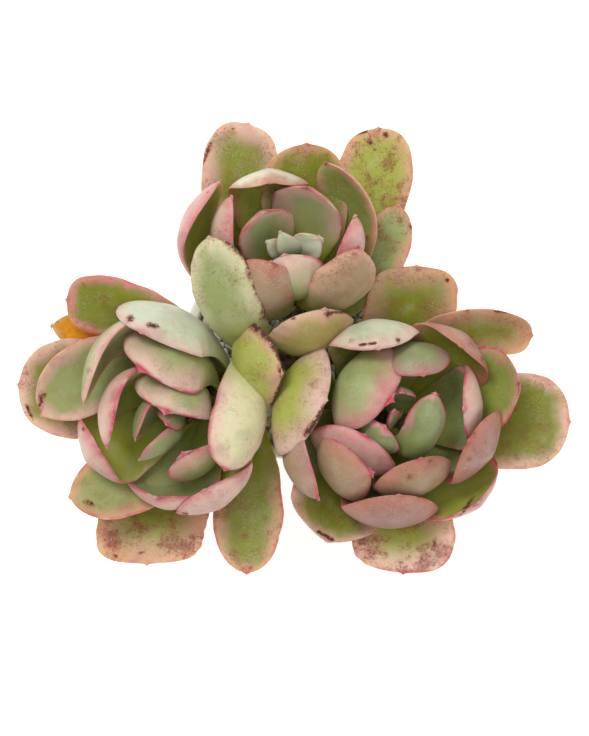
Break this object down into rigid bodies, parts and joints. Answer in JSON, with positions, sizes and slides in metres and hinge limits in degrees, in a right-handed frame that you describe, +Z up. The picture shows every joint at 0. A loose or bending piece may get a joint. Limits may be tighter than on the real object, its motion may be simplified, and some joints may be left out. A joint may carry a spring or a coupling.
{
  "type": "potted succulent",
  "caption": "Rosette succulent with clustered fleshy heads on a short forked woody stem, growing from mineral grit in a plain round tapered ceramic pot.",
  "frame": {"origin": "centre of the pot's foot, on the surface it stands on", "axes": "+Z up; +X across the plant's widest spread; +Y towards the single rear head"},
  "size_m": [0.1528, 0.1247, 0.1037],
  "materials": {
    "pot": "matt white glaze",
    "grit": "loose pumice and lava grit",
    "bark": "dry scaly bark",
    "leaf": "powdery green with pink margins",
    "bud": "powdery pale green",
    "withered_leaf": "drying yellow brown"
  },
  "bodies": {
    "root": {"pot": "pot", "grit": "grit", "stem": "bark", "back_bud": "bud", "back_leaf_01": "leaf", "back_leaf_02": "leaf", "back_leaf_03": "leaf", "back_leaf_04": "leaf", "back_leaf_05": "leaf", "back_leaf_06": "leaf", "back_leaf_07": "leaf", "back_leaf_08": "leaf", "back_leaf_09": "leaf", "back_leaf_10": "leaf", "back_leaf_11": "leaf", "back_leaf_12": "leaf", "back_leaf_13": "leaf", "back_leaf_14": "leaf", "back_leaf_15": "leaf", "back_leaf_16": "leaf", "left_bud": "bud", "left_leaf_01": "leaf", "left_leaf_02": "withered_leaf", "left_leaf_03": "leaf", "left_leaf_04": "leaf", "left_leaf_05": "leaf", "left_leaf_06": "leaf", "left_leaf_07": "leaf", "left_leaf_08": "leaf", "left_leaf_09": "leaf", "left_leaf_10": "leaf", "left_leaf_11": "leaf", "left_leaf_12": "leaf", "left_leaf_13": "leaf", "left_leaf_14": "leaf", "left_leaf_15": "leaf", "left_leaf_16": "leaf", "left_leaf_17": "leaf", "right_bud": "bud", "right_leaf_01": "leaf", "right_leaf_02": "leaf", "right_leaf_03": "leaf", "right_leaf_04": "leaf", "right_leaf_05": "leaf", "right_leaf_06": "leaf", "right_leaf_07": "leaf", "right_leaf_08": "leaf", "right_leaf_09": "leaf", "right_leaf_10": "leaf", "right_leaf_11": "leaf", "right_leaf_12": "leaf", "right_leaf_13": "leaf", "right_leaf_14": "leaf", "right_leaf_15": "leaf", "right_leaf_16": "leaf", "right_leaf_17": "leaf", "right_leaf_18": "leaf", "right_leaf_19": "leaf", "right_leaf_20": "leaf", "right_leaf_21": "leaf"}
  },
  "joints": []
}
